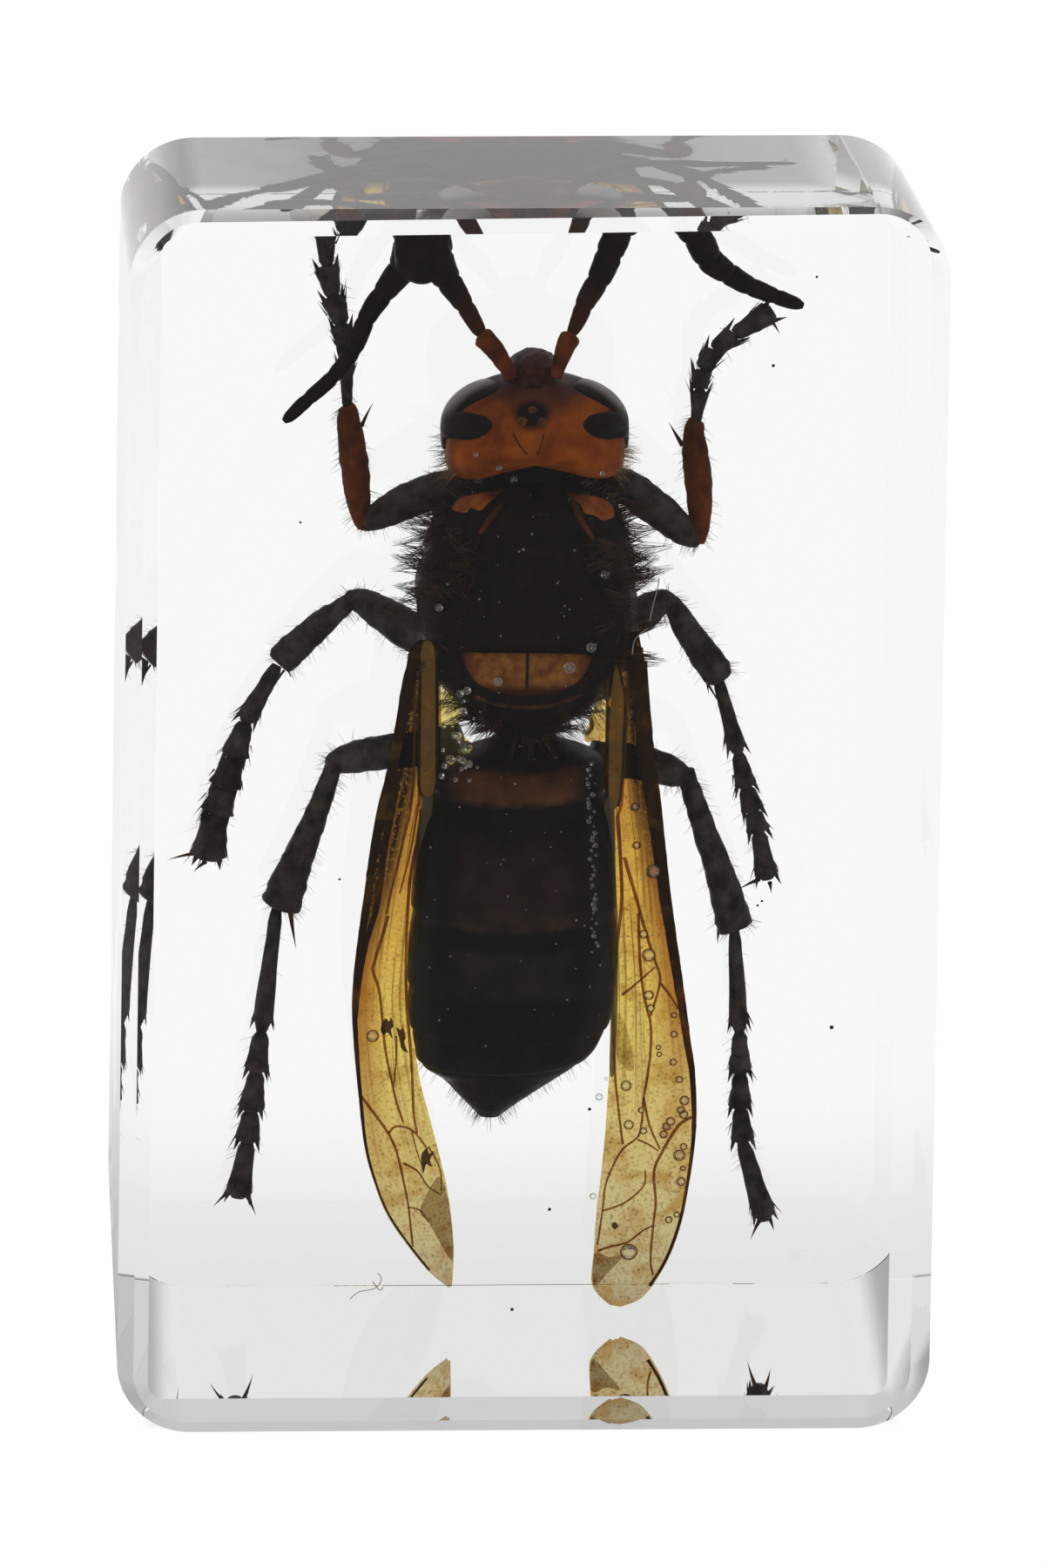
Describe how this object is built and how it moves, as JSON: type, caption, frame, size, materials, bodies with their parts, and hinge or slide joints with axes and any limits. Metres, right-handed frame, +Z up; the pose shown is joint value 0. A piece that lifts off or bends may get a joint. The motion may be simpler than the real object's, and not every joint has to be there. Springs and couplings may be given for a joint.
{
  "type": "insect in resin block",
  "caption": "Clear cast resin block with rounded corners and ground front edges, holding a giant hornet; stands on its short end.",
  "frame": {"origin": "centre of the bounding box's footprint, on the surface that the block stands on", "axes": "+Z up along the block's long side; the front face, which the hornet's back is turned to, looks along -Y; +X is to the right seen from the front"},
  "size_m": [0.045, 0.0342, 0.0705],
  "materials": {
    "resin": "polished",
    "hornet_shell": "satin",
    "hornet_orange": "satin",
    "hornet_wing": "gloss"
  },
  "bodies": {
    "root": {"resin_block": "resin"}
  },
  "joints": []
}
